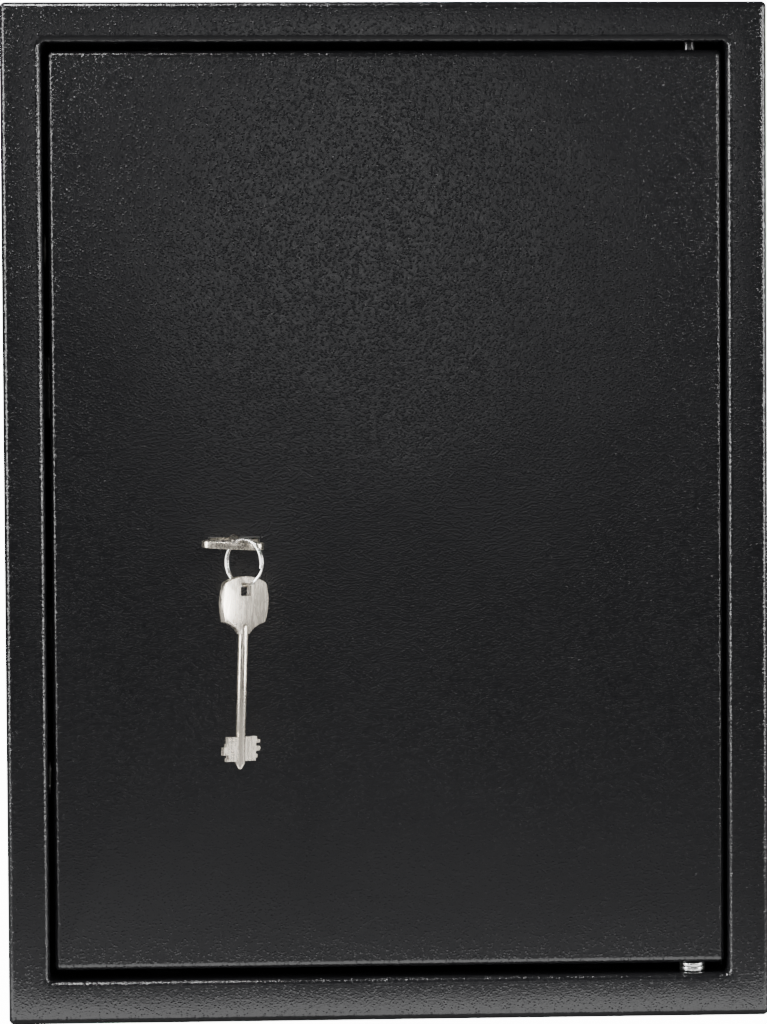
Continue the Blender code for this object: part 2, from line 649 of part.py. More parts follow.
def bow_outline():
    """One side of the bow and the other: (across, along) points, from the end of the bow."""
    def bulged(x0, y0, x1, y1, bulge, steps):
        chord = Vector((x1 - x0, y1 - y0))
        normal = Vector((chord.y, -chord.x)).normalized()
        points = []
        for i in range(1, steps + 1):
            t = i / steps
            points.append((x0 + chord.x * t + normal.x * bulge * 4 * t * (1 - t),
                           y0 + chord.y * t + normal.y * bulge * 4 * t * (1 - t)))
        return points

    half = [(0, 0)]
    rise = BOW_RISE / BOW_HALF ** 2
    half += [(BOW_HALF * i / 6, rise * (BOW_HALF * i / 6) ** 2) for i in range(1, 7)]
    half += bulged(BOW_HALF, BOW_RISE, BOW_HALF, BOW_SHOULDER, BOW_BULGE, 6)
    for i in range(1, 7):
        t = i / 6
        across = (1 - t) ** 2 * BOW_HALF + 2 * t * (1 - t) * 4.6 * MM + t ** 2 * BOW_NECK_HALF
        along = (1 - t) ** 2 * BOW_SHOULDER + 2 * t * (1 - t) * 22.8 * MM + t ** 2 * BOW_NECK
        half.append((across, along))
    other = [(-x, y) for x, y in reversed(half[1:])]
    return half + other


def bit_outline():
    points = []
    for sign, steps in ((1, BIT_STEPS_A), (-1, BIT_STEPS_B)):
        along = BIT_FROM
        side = []
        for run, reach in steps:
            side.append((sign * reach * MM, along))
            along += run * MM
            side.append((sign * reach * MM, along))
        points += side if sign > 0 else side[::-1]
    return points


def key_mesh(paint):
    """The key, with its bow's end at the origin, its length along +Y and its flat across X."""
    def flat(outline, sheet):
        bm = bmesh.new()
        low = [bm.verts.new((x, y, -sheet / 2)) for x, y in outline]
        high = [bm.verts.new((x, y, sheet / 2)) for x, y in outline]
        bridge(bm, low, high)
        bm.faces.new(low)
        bm.faces.new(high)
        return bm

    bow = add("key_bow", flat(bow_outline(), BOW_SHEET), paint, None)
    half = SLOT_W / 2
    slot = cutter("bow_slot_cut", block(-half, half, SLOT_FROM, SLOT_TO, -BOW_SHEET, BOW_SHEET))
    shank = turned(((SHANK_FROM - 1.2 * MM, SHANK_R - 1.2 * MM), (SHANK_FROM, SHANK_R), (SHANK_TO, SHANK_R),
                    (KEY_LENGTH, 0.8 * MM)), (0, 0, 0), "Y", 20)
    joined = (cutter("shank_join", shank), cutter("bit_join", flat(bit_outline(), BIT_SHEET)))
    cut(bow, slot)
    for piece in joined:
        union(bow, piece)
    bpy.context.view_layer.update()
    graph = bpy.context.evaluated_depsgraph_get()
    mesh = bpy.data.meshes.new_from_object(bow.evaluated_get(graph))
    for obj in (bow, slot, *joined):
        bpy.data.objects.remove(obj, do_unlink=True)
    mesh.name = "key"
    return mesh


def placed(name, mesh, matrix, carrier):
    obj = bpy.data.objects.new(name, mesh)
    bpy.context.collection.objects.link(obj)
    obj.parent = carrier
    obj.matrix_basis = Matrix.Translation(-world_place(carrier)) @ matrix
    return obj


def key_matrix():
    bow_end = Matrix.Translation((KEY_X, DOOR_FRONT - KEY_PROUD, KEY_Z))
    return bow_end @ Matrix.Rotation(KEY_REST_ROLL, 4, "Y")


def key_curtain(paint, carrier):
    """The turning barrel that guides the key and closes the keyhole behind it."""
    front = DOOR_INSIDE + 2 * FIT
    back = COVER_FRONT - FIT
    body = rod((KEY_X, front, KEY_Z), "Y", back - front, CURTAIN_R, CURTAIN_SIDES)
    barrel = add("key_curtain", body, paint, carrier)
    key_end = DOOR_FRONT - KEY_PROUD
    half = HOLE_SLOT_H / 2
    slot = block(-CURTAIN_R - MM, CURTAIN_R + MM, front - MM, key_end + BIT_TO + FIT, -half, half)
    tilt = Matrix.Translation((KEY_X, 0, KEY_Z)) @ Matrix.Rotation(KEY_REST_ROLL, 4, "Y")
    bmesh.ops.transform(slot, matrix=tilt, verts=slot.verts)
    bore = rod((KEY_X, front - MM, KEY_Z), "Y", key_end + KEY_LENGTH + FIT - front + MM, SHANK_R + FIT)
    cut(barrel, cutter("curtain_slot_cut", slot), cutter("curtain_bore_cut", bore))


def ring_centre():
    return Vector((RING_X, RING_Y, KEY_Z - RING_DROP))


def split_ring(paint, carrier):
    """Two turns of flat wire side by side, with a jog where the wire crosses from one to the other."""
    yaw = Matrix.Rotation(RING_YAW, 3, "Z")
    steps = 80
    bm = bmesh.new()
    loops = []
    for i in range(steps + 1):
        angle = RING_END + (4 * math.pi - 2 * RING_END) * i / steps
        crossed = min(max((angle - 2 * math.pi + RING_JOG) / (2 * RING_JOG), 0), 1)
        across = (crossed ** 2 * (3 - 2 * crossed) - 0.5) * RING_PITCH
        out = Vector((math.cos(RING_JOG_AT + angle), 0, math.sin(RING_JOG_AT + angle)))
        corners = ((-1, -1), (1, -1), (1, 1), (-1, 1))
        loops.append([
            bm.verts.new(ring_centre() + yaw @ (
                out * (RING_R + r * RING_WIRE_R / 2) + Vector((0, across + a * RING_WIRE_A / 2, 0))
            ))
            for r, a in corners
        ])
    for low, high in zip(loops, loops[1:]):
        bridge(bm, low, high)
    bm.faces.new(loops[0])
    bm.faces.new(loops[-1])
    add("split_ring", bm, paint, carrier)


def spare_matrix():
    """The spare hangs with the upper edge of its slot on the bottom of the ring."""
    hang = spare_pivot()
    upright = Matrix.Rotation(math.radians(-90), 4, "X")
    slot_top = Matrix.Translation((0, -(SLOT_FROM + SPARE_SLACK + RING_WIRE_R / 2), 0))
    lean = Matrix.Rotation(SPARE_YAW, 4, "Z") @ Matrix.Rotation(SPARE_LEAN, 4, "Y")
    return Matrix.Translation(hang) @ lean @ upright @ slot_top


def spare_pivot():
    return ring_centre() - Vector((0, 0, RING_R))


def interior(steel, felt):
    """A loose shelf on two angles, and the mat on the floor of the safe."""
    inside = CASE_W / 2 - CASE_SHEET - FIT
    front = COVER_FRONT + COVER_SHEET + SHELF_GAP
    back = -CASE_SHEET - FIT
    top = SHELF_Z - FIT
    y0, y1 = front + BRACKET_INSET, back - BRACKET_INSET
    for name, sign in (("left", -1), ("right", 1)):
        wall = sign * inside
        x0, x1 = sorted((wall, wall - sign * SHELF_SHEET))
        upright = block(x0, x1, y0, y1, top - BRACKET_LEG, top)
        angle = add(f"shelf_bracket_{name}", upright, steel, None)
        x0, x1 = sorted((wall, wall - sign * BRACKET_LEG))
        ledge = block(x0, x1, y0, y1, top - SHELF_SHEET, top)
        union(angle, cutter(f"ledge_join_{name}", ledge))
    half = inside - MM
    rear = back - MM
    section = [(front, SHELF_Z + SHELF_LIP), (front + SHELF_SHEET, SHELF_Z + SHELF_LIP)]
    section += [(front + SHELF_SHEET, SHELF_Z + SHELF_SHEET), (rear, SHELF_Z + SHELF_SHEET)]
    section += [(rear, SHELF_Z), (front, SHELF_Z)]
    bm = bmesh.new()
    left = [bm.verts.new((-half, y, z)) for y, z in section]
    right = [bm.verts.new((half, y, z)) for y, z in section]
    bridge(bm, left, right)
    bm.faces.new(left)
    bm.faces.new(right)
    add("shelf", bm, steel, None)
    floor = -CASE_H / 2 + CASE_SHEET + FIT
    mat = block(-half, half, FRONT + FRAME_RETURN + MAT_GAP, rear, floor, floor + MAT_SHEET)
    add("base_mat", mat, felt, None)


def main():
    clear_scene()
    black = material("black_powder_coat", (0.018, 0.018, 0.02), 0.45, 0.0)
    zinc = material("zinc_plated_steel", (0.6, 0.6, 0.58), 0.35, 1.0)
    nickel = material("nickel_plated_steel", (0.72, 0.7, 0.66), 0.3, 1.0)
    brass = material("brass", (0.72, 0.55, 0.25), 0.35, 1.0)
    felt = material("felt", (0.05, 0.05, 0.055), 0.95, 0.0)

    door_axis = pivot("door_axis", (HINGE_X, HINGE_Y, 0))
    key_axis = pivot("key_axis", (KEY_X, DOOR_FRONT, KEY_Z), door_axis)
    ring_axis = pivot("ring_axis", ring_centre(), key_axis)
    spare_axis = pivot("spare_axis", spare_pivot(), ring_axis)

    body_shell(black)
    back_panel(black)
    door_stops(black)
    interior(black, felt)
    door_panel(black, door_axis)
    hinge(black, zinc, door_axis)
    inner_cover(black, zinc, door_axis)
    lock(zinc, brass, door_axis)
    boltwork(zinc, door_axis)
    boltwork_guides(zinc, brass, door_axis)
    key_curtain(zinc, key_axis)
    key = key_mesh(nickel)
    placed("key_in_lock", key, key_matrix(), key_axis)
    split_ring(nickel, ring_axis)
    placed("spare_key", key, spare_matrix(), spare_axis)


main()
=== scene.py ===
import json
import math

import bmesh
import bpy
from mathutils import Matrix, Vector, noise


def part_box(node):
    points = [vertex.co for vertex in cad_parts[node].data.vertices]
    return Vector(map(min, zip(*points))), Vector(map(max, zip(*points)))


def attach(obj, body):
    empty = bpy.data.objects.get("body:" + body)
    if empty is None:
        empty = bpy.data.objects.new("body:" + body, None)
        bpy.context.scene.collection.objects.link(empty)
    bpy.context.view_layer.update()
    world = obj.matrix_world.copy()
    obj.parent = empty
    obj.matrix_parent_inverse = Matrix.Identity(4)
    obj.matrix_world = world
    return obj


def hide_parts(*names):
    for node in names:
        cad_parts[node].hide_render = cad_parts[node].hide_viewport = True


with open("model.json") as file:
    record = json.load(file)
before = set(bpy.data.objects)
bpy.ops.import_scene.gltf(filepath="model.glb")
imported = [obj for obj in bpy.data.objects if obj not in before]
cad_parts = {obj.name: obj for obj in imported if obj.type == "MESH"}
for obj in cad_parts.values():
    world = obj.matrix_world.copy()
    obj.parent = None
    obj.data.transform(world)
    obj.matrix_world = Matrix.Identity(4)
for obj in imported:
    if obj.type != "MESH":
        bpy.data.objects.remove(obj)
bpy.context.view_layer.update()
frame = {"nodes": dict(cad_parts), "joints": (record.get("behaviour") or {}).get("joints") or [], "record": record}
JOINT = {joint["name"]: joint for joint in frame["joints"]}
MM = 0.001


# ---------------------------------------------------------------- materials

def shader_of(name, colour, roughness, metallic, specular=0.5):
    made = bpy.data.materials.new(name)
    made.use_nodes = True
    made.diffuse_color = (*colour, 1)
    shader = made.node_tree.nodes["Principled BSDF"]
    shader.inputs["Base Color"].default_value = (*colour, 1)
    shader.inputs["Roughness"].default_value = roughness
    shader.inputs["Metallic"].default_value = metallic
    shader.inputs["Specular IOR Level"].default_value = specular
    return made, made.node_tree, shader


def own_place(tree):
    """Coordinates that belong to the piece, so that its grain stays put when it moves."""
    return tree.nodes.new("ShaderNodeTexCoord").outputs["Object"]


def noise_node(tree, scale, detail=2.0, rough=0.5, stretch=(1, 1, 1)):
    scaled = tree.nodes.new("ShaderNodeMapping")
    scaled.inputs["Scale"].default_value = stretch
    tree.links.new(own_place(tree), scaled.inputs["Vector"])
    made = tree.nodes.new("ShaderNodeTexNoise")
    made.inputs["Scale"].default_value = scale
    made.inputs["Detail"].default_value = detail
    made.inputs["Roughness"].default_value = rough
    tree.links.new(scaled.outputs["Vector"], made.inputs["Vector"])
    return made.outputs["Fac"]


def ramp_node(tree, source, stops):
    """Turns SOURCE into a grey or a colour by (position, value) stops."""
    made = tree.nodes.new("ShaderNodeValToRGB")
    ramp = made.color_ramp
    while len(ramp.elements) < len(stops):
        ramp.elements.new(0.5)
    for element, (at, value) in zip(ramp.elements, stops):
        element.position = at
        colour = value if isinstance(value, tuple) else (value,) * 3
        element.color = (*colour, 1)
    tree.links.new(source, made.inputs["Fac"])
    return made.outputs["Color"]


def bump_node(tree, height, distance, under=None):
    """A bump DISTANCE metres high, laid over the bump UNDER."""
    made = tree.nodes.new("ShaderNodeBump")
    made.inputs["Strength"].default_value = 1
    made.inputs["Distance"].default_value = distance
    tree.links.new(height, made.inputs["Height"])
    if under:
        tree.links.new(under, made.inputs["Normal"])
    return made.outputs["Normal"]


def powder_beads(tree):
    """Round beads about 1 mm apart, of which some stand much taller than the rest."""
    beads = tree.nodes.new("ShaderNodeTexVoronoi")
    beads.inputs["Scale"].default_value = 900
    tree.links.new(own_place(tree), beads.inputs["Vector"])
    dome = ramp_node(tree, beads.outputs["Distance"], ((0.0, 1.0), (0.15, 0.9), (0.38, 0.35), (0.65, 0.0)))
    tall = ramp_node(tree, beads.outputs["Color"], ((0.5, 0.35), (0.75, 1.0)))
    raised = tree.nodes.new("ShaderNodeMath")
    raised.operation = "MULTIPLY"
    tree.links.new(dome, raised.inputs[0])
    tree.links.new(tall, raised.inputs[1])
    return raised.outputs["Value"]


def powder_coat(name, grain=1.0):
    """Black baked powder: glossy beads over finer grain and a faint long wave."""
    black, raised_black = (0.004, 0.004, 0.0045), (0.008, 0.008, 0.0088)
    made, tree, shader = shader_of(name, (0.006, 0.006, 0.0066), 0.22, 0.0, 0.4)
    fine = noise_node(tree, 1300, 1.5, 0.5)
    normal = bump_node(tree, noise_node(tree, 14, 1.0), 0.0011)
    normal = bump_node(tree, powder_beads(tree), 0.00013 * grain, normal)
    normal = bump_node(tree, fine, 0.00009 * grain, normal)
    tree.links.new(normal, shader.inputs["Normal"])
    gloss = ramp_node(tree, noise_node(tree, 420), ((0.35, 0.12), (0.65, 0.24)))
    tree.links.new(gloss, shader.inputs["Roughness"])
    tint = ramp_node(tree, fine, ((0.3, black), (0.75, raised_black)))
    tree.links.new(tint, shader.inputs["Base Color"])
    return made


def plated(name, dark, light, roughness, along=(1, 1, 1)):
    """Satin plated metal with fine marks along one direction and a slightly cloudy shine."""
    made, tree, shader = shader_of(name, light, roughness, 1.0)
    cloud = noise_node(tree, 260, 3.0, 0.6)
    marks = noise_node(tree, 900, 2.0, 0.6, along)
    tree.links.new(ramp_node(tree, cloud, ((0.3, dark), (0.7, light))), shader.inputs["Base Color"])
    gloss = ramp_node(tree, marks, ((0.3, roughness - 0.07), (0.7, roughness + 0.08)))
    tree.links.new(gloss, shader.inputs["Roughness"])
    tree.links.new(bump_node(tree, marks, 0.00002), shader.inputs["Normal"])
    return made


def needled_felt():
    """Grey felt: fibres that lie mostly one way, in soft tufts."""
    made, tree, shader = shader_of("felt_grey", (0.05, 0.05, 0.055), 0.95, 0.0, 0.2)
    fibre = noise_node(tree, 1100, 4.0, 0.75, (1.0, 0.35, 1.0))
    tuft = noise_node(tree, 180, 3.0, 0.6)
    tint = ramp_node(tree, fibre, ((0.3, (0.022, 0.022, 0.025)), (0.75, (0.10, 0.10, 0.11))))
    tree.links.new(tint, shader.inputs["Base Color"])
    normal = bump_node(tree, fibre, 0.0005, bump_node(tree, tuft, 0.0008))
    tree.links.new(normal, shader.inputs["Normal"])
    shader.inputs["Sheen Weight"].default_value = 0.35
    shader.inputs["Sheen Roughness"].default_value = 0.6
    return made


COAT = powder_coat("coat_black")
COAT_INSIDE = powder_coat("coat_black_inside", 0.7)
ZINC = plated("zinc_satin", (0.52, 0.53, 0.53), (0.68, 0.68, 0.66), 0.3)
NICKEL = plated("nickel_satin", (0.64, 0.58, 0.49), (0.72, 0.66, 0.56), 0.26, (1, 0.15, 1))
WIRE = plated("nickel_wire", (0.70, 0.68, 0.64), (0.86, 0.84, 0.80), 0.2)
BARE = plated("bare_edge", (0.08, 0.08, 0.08), (0.30, 0.29, 0.28), 0.35)
BRASS = plated("brass_stamped", (0.55, 0.39, 0.15), (0.74, 0.56, 0.25), 0.32)
FELT = needled_felt()

PAINTS = {"zinc_plated_steel": ZINC, "nickel_plated_steel": NICKEL, "brass": BRASS, "felt": FELT}
for node in frame["nodes"].values():
    slot = node.material_slots[0]
    slot.material = PAINTS.get(slot.material.name.split(".")[0], COAT_INSIDE)


# ---------------------------------------------------------------- mesh tools

def mesh_of(name, bm, sharp=32):
    bmesh.ops.recalc_face_normals(bm, faces=bm.faces)
    mesh = bpy.data.meshes.new(name)
    bm.to_mesh(mesh)
    bm.free()
    mesh.shade_smooth()
    mesh.set_sharp_from_angle(angle=math.radians(sharp))
    return mesh


def thing(name, bm, *paints, sharp=32):
    """A new object from BM, with PAINTS as its materials and edges over SHARP degrees kept hard."""
    obj = bpy.data.objects.new(name, mesh_of(name, bm, sharp))
    bpy.context.scene.collection.objects.link(obj)
    for paint in paints:
        obj.data.materials.append(paint)
    return obj


def carve(obj, *tools, sharp=32):
    """Cuts the tools out of the piece and bakes the result into its mesh."""
    for tool in tools:
        modifier = obj.modifiers.new(tool.name, "BOOLEAN")
        modifier.operation = "DIFFERENCE"
        modifier.solver = "EXACT"
        modifier.material_mode = "TRANSFER"
        modifier.object = tool
    bpy.context.view_layer.update()
    graph = bpy.context.evaluated_depsgraph_get()
    baked = bpy.data.meshes.new_from_object(obj.evaluated_get(graph))
    obj.modifiers.clear()
    obj.data = baked
    baked.shade_smooth()
    baked.set_sharp_from_angle(angle=math.radians(sharp))
    for tool in tools:
        bpy.data.objects.remove(tool, do_unlink=True)
    return obj


def belongs(obj, body, node):
    """Puts a finished piece on its body, in the place of the CAD node."""
    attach(obj, body)
    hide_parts(node)


def bridge(bm, low, high, material=0):
    """Faces from one loop of vertices to the next."""
    count = len(low)
    for i in range(count):
        j = (i + 1) % count
        face = bm.faces.new((low[i], low[j], high[j], high[i]))
        face.material_index = material


def stack(bm, loops, hollow=False):
    """Joins each loop to the next and caps both ends. HOLLOW joins the last loop to the first instead."""
    for low, high in zip(loops, loops[1:]):
        bridge(bm, low, high)
    if hollow:
        bridge(bm, loops[-1], loops[0])
    else:
        bm.faces.new(loops[0])
        bm.faces.new(loops[-1])
    return bm


def arc(cx, cy, radius, start, end, steps):
    """Points on a circle, from START to END degrees."""
    angles = [math.radians(start + (end - start) * i / steps) for i in range(steps + 1)]
    return [(cx + radius * math.cos(a), cy + radius * math.sin(a)) for a in angles]


def bezier(a, b, c, t):
    return (1 - t) ** 2 * a + 2 * t * (1 - t) * b + t ** 2 * c


def framed_loop(bm, sides, inset, radius, y, steps=8):
    """A loop round the rectangle SIDES (left, right, bottom, top), inset and with round corners."""
    left, right, bottom, top = sides
    reach = inset + radius
    corners = (
        (right - reach, top - reach, 0),
        (left + reach, top - reach, 90),
        (left + reach, bottom + reach, 180),
        (right - reach, bottom + reach, 270),
    )
    points = [p for x, z, turn in corners for p in arc(x, z, radius, turn, turn + 90, steps)]
    return [bm.verts.new((x, y, z)) for x, z in points]


AXES = {"X": Vector((1, 0, 0)), "Y": Vector((0, 1, 0)), "Z": Vector((0, 0, 1))}


def lathe(profile, start, axis, sides=64, hollow=False):
    """A turned piece from (along, radius) pairs, from START along AXIS."""
    along = AXES[axis]
    side = AXES["X"] if axis == "Z" else AXES["Z"] if axis == "Y" else AXES["Y"]
    other = along.cross(side)
    turns = [2 * math.pi * i / sides for i in range(sides)]
    bm = bmesh.new()
    loops = []
    for far, radius in profile:
        middle = Vector(start) + along * far
        points = [middle + radius * (math.cos(a) * side + math.sin(a) * other) for a in turns]
        loops.append([bm.verts.new(point) for point in points])
    return stack(bm, loops, hollow)


def bore(start, axis, radius, long, sides=64):
    return lathe(((0, radius), (long, radius)), start, axis, sides)


def slab(outline, levels):
    """A plate with shaped edges: OUTLINE, a closed list of (x, y), at each (height, inset) of LEVELS."""
    bm = bmesh.new()
    loops = [
        [bm.verts.new((x, y, height)) for x, y in inset_polygon(outline, inset)] for height, inset in levels
    ]
    return stack(bm, loops)


def rounded_edges(half, edge, steps=3):
    """(height, inset) levels of a plate 2*HALF thick whose two rims are rounded by EDGE."""
    turns = [math.pi / 2 * i / steps for i in range(steps + 1)]
    low = [(-half + edge - edge * math.cos(t), edge - edge * math.sin(t)) for t in turns]
    return low + [(-height, inset) for height, inset in reversed(low)]


def inset_polygon(points, inset):
    """The closed outline moved inwards by INSET, along the mitre of its two sides at each point."""
    if not inset:
        return list(points)
    count = len(points)
    area = sum(points[i - 1][0] * points[i][1] - points[i][0] * points[i - 1][1] for i in range(count))
    turn = 1 if area > 0 else -1
    moved = []
    for i, here in enumerate(points):
        before = Vector(here) - Vector(points[i - 1])
        after = Vector(points[(i + 1) % count]) - Vector(here)
        n0 = Vector((-before.y, before.x)).normalized() * turn
        n1 = Vector((-after.y, after.x)).normalized() * turn
        middle = (n0 + n1).normalized()
        moved.append(tuple(Vector(here) + middle * inset / max(middle.dot(n0), 0.3)))
    return moved


def flat_plate(name, node, corner, steps):
    """A flat sheet the size of the CAD node, across Y, with round corners and softened edges."""
    low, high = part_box(node)
    edge = 0.3 * MM
    bm = bmesh.new()
    levels = ((low.y, edge), (low.y + edge, 0), (high.y - edge, 0), (high.y, edge))
    sides = (low.x, high.x, low.z, high.z)
    stack(bm, [framed_loop(bm, sides, inset, corner, y, steps) for y, inset in levels])
    return thing(name, bm, COAT_INSIDE)


def middle_of(node):
    low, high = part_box(node)
    return (low.x + high.x) / 2, (low.z + high.z) / 2


# ---------------------------------------------------------------- case

shell_low, shell_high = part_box("body_shell")
CASE = (shell_low.x, shell_high.x, shell_low.z, shell_high.z)
FRONT = shell_low.y
SHEET = 2 * MM
FACE = 19.4 * MM          # width of the frame's face at the sides
FACE_TOP = 19.2 * MM
FACE_BOTTOM = 20.6 * MM
RETURN = 30 * MM          # depth of the return into the opening
BEND = 3.6 * MM           # outer radius of every fold in the front
CASE_CORNER = 2.7 * MM
STRIKE_HOLE = 7.8 * MM
OPEN_X = shell_high.x - FACE
OPENING = (-OPEN_X, OPEN_X, shell_low.z + FACE_BOTTOM, shell_high.z - FACE_TOP)

bolt_low, bolt_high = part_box("bolt_upper")
HINGE = Vector(JOINT["door_swing"]["pos_m"])
PIN_HOLE = 3.3 * MM
BOLT_Y = (bolt_low.y + bolt_high.y) / 2
BOLT_Z = (bolt_low.z + bolt_high.z) / 2
BOLT_R = (bolt_high.z - bolt_low.z) / 2


def case_shell():
    """One folded sheet: side, rolled front edge, flat face, rolled inner edge, return into the opening."""
    inner = BEND - SHEET
    depth = -FRONT
    edge = 0.35 * MM
    section = [(0, depth - edge)] + arc(BEND, BEND, BEND, 180, 270, 10)
    section += arc(FACE - BEND, BEND, BEND, 270, 360, 10)
    section += [(FACE, RETURN - edge), (FACE - edge, RETURN), (FACE - SHEET + edge, RETURN)]
    section += [(FACE - SHEET, RETURN - edge)]
    section += arc(FACE - BEND, BEND, inner, 360, 270, 5) + arc(BEND, BEND, inner, 270, 180, 5)
    section += [(SHEET, depth - edge), (SHEET - edge, depth), (edge, depth)]
    bm = bmesh.new()
    loops = []
    for inset, deep in section:
        if inset < FACE / 2:
            loops.append(framed_loop(bm, CASE, inset, max(CASE_CORNER - inset, 0.2 * MM), FRONT + deep))
        else:
            loops.append(framed_loop(bm, OPENING, inset - FACE, 2 * MM + FACE - inset, FRONT + deep))
    shell = thing("case_shell", stack(bm, loops, hollow=True), COAT)
    tools = []
    for sign in (1, -1):
        hole = bore((-OPEN_X - 5 * MM, BOLT_Y, sign * BOLT_Z), "X", STRIKE_HOLE, 8 * MM)
        tools.append(thing(f"strike_tool_{sign}", hole, BARE))
        start = OPENING[3] - 3 * MM if sign > 0 else OPENING[2] - 5 * MM
        hole = bore((HINGE.x, HINGE.y, start), "Z", PIN_HOLE, 8 * MM, 32)
        tools.append(thing(f"pin_tool_{sign}", hole, COAT))
    return carve(shell, *tools)


belongs(case_shell(), "case", "body_shell")


def back_plate():
    """The flat back, with countersunk anchor holes where the record has its anchor openings."""
    radius, flare, skin = 6 * MM, 1.3 * MM, 0.35 * MM
    plate = flat_plate("back_plate", "back_panel", 1.2 * MM, 4)
    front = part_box("back_panel")[0].y
    wide = radius + flare
    profile = ((-1 * MM, wide), (skin, radius), (SHEET - skin, radius), (SHEET + 1 * MM, wide))
    anchors = [o["box_m"] for o in frame["record"]["physics"]["openings"] if "anchor" in o["name"]]
    tools = []
    for i, (low, high) in enumerate(anchors):
        place = ((low[0] + high[0]) / 2, front, (low[2] + high[2]) / 2)
        tools.append(thing(f"anchor_tool_{i}", lathe(profile, place, "Y", 48), COAT_INSIDE))
    return carve(plate, *tools)


belongs(back_plate(), "case", "back_panel")


# ---------------------------------------------------------------- door

door_low, door_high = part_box("door_panel")
DOOR = (door_low.x, door_high.x, door_low.z, door_high.z)
DOOR_FRONT = door_low.y
DOOR_SHEET = 3 * MM
SCREW_HOLE = 2.3 * MM
COVER_SCREWS = [f"cover_screw_{i + 1}" for i in range(6)]
KEY_AXIS = Vector(JOINT["key_turn"]["pos_m"])


def keyhole(grow):
    """Round middle and a slot to each side, with every edge moved out by GROW."""
    half = 1.6 * MM + grow
    radius = 2.7 * MM + grow
    end = 11.9 * MM + grow
    meet = math.degrees(math.asin(half / radius))
    top = arc(0, 0, radius, meet, 180 - meet, 14)
    bottom = arc(0, 0, radius, 180 + meet, 360 - meet, 14)
    points = [(end, half)] + top + [(-end, half), (-end, -half)] + bottom + [(end, -half)]
    return [(KEY_AXIS.x + x, KEY_AXIS.z + z) for x, z in points]


def keyhole_tool():
    """Cuts the keyhole, with a small bare countersink under the coat."""
    levels = ((-1 * MM, 0.6), (0.0, 0.22), (0.1 * MM, 0.1), (0.3 * MM, 0.0), (DOOR_SHEET + 1 * MM, 0.0))
    countersink = 3
    bm = bmesh.new()
    loops = [[bm.verts.new((x, DOOR_FRONT + y, z)) for x, z in keyhole(grow * MM)] for y, grow in levels]
    for k, (low, high) in enumerate(zip(loops, loops[1:])):
        bridge(bm, low, high, 0 if k < countersink else 1)
    bm.faces.new(loops[0])
    bm.faces.new(loops[-1])
    return thing("keyhole_tool", bm, BARE, COAT)


def door_skin():
    """The folded pan of the door, with its bends, its lip at the back and a countersunk keyhole."""
    bend, corner, lip_sheet, lip, inner = 3.6 * MM, 2.5 * MM, 2 * MM, 12 * MM, 0.4 * MM
    depth = door_high.y - DOOR_FRONT
    edge = 0.3 * MM
    section = arc(bend, bend, bend, 270, 180, 10)
    section += [(0, depth - 1.2 * MM), (0.35 * MM, depth - 0.35 * MM), (1.2 * MM, depth)]
    section += [(lip - edge, depth), (lip, depth - edge), (lip, depth - lip_sheet)]
    section += [(lip_sheet, depth - lip_sheet), (lip_sheet, DOOR_SHEET + inner)]
    section += [(lip_sheet + inner, DOOR_SHEET)]
    bm = bmesh.new()
    loops = []
    for inset, deep in section:
        loops.append(framed_loop(bm, DOOR, inset, max(corner - inset, inner), DOOR_FRONT + deep))
    door = thing("door_skin", stack(bm, loops), COAT)
    tools = [keyhole_tool()]
    radius = BOLT_R + 0.3 * MM
    bolt_hole = ((0, radius + 0.9 * MM), (1 * MM, radius + 0.3 * MM), (1.3 * MM, radius), (6 * MM, radius))
    for sign in (1, -1):
        hole = lathe(bolt_hole, (door_low.x - 1 * MM, BOLT_Y, sign * BOLT_Z), "X")
        tools.append(thing(f"bolt_tool_{sign}", hole, BARE))
        start = door_high.z - 4 * MM if sign > 0 else door_low.z - 1 * MM
        hole = bore((HINGE.x, HINGE.y, start), "Z", PIN_HOLE, 5 * MM, 32)
        tools.append(thing(f"door_pin_tool_{sign}", hole, COAT))
    for i, node in enumerate(COVER_SCREWS):
        x, z = middle_of(node)
        hole = bore((x, door_high.y - 3 * MM, z), "Y", SCREW_HOLE, 4 * MM, 32)
        tools.append(thing(f"lip_tool_{i}", hole, COAT))
    return carve(door, *tools)


belongs(door_skin(), "door", "door_panel")


def cover_plate():
    """The flat plate that closes the door's back, drilled for its six screws."""
    plate = flat_plate("cover_plate", "inner_cover", 4 * MM, 8)
    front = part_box("inner_cover")[0].y - 1 * MM
    tools = []
    for i, node in enumerate(COVER_SCREWS):
        x, z = middle_of(node)
        tools.append(thing(f"cover_tool_{i}", bore((x, front, z), "Y", SCREW_HOLE, 4 * MM, 32), BARE))
    return carve(plate, *tools)


belongs(cover_plate(), "door", "inner_cover")


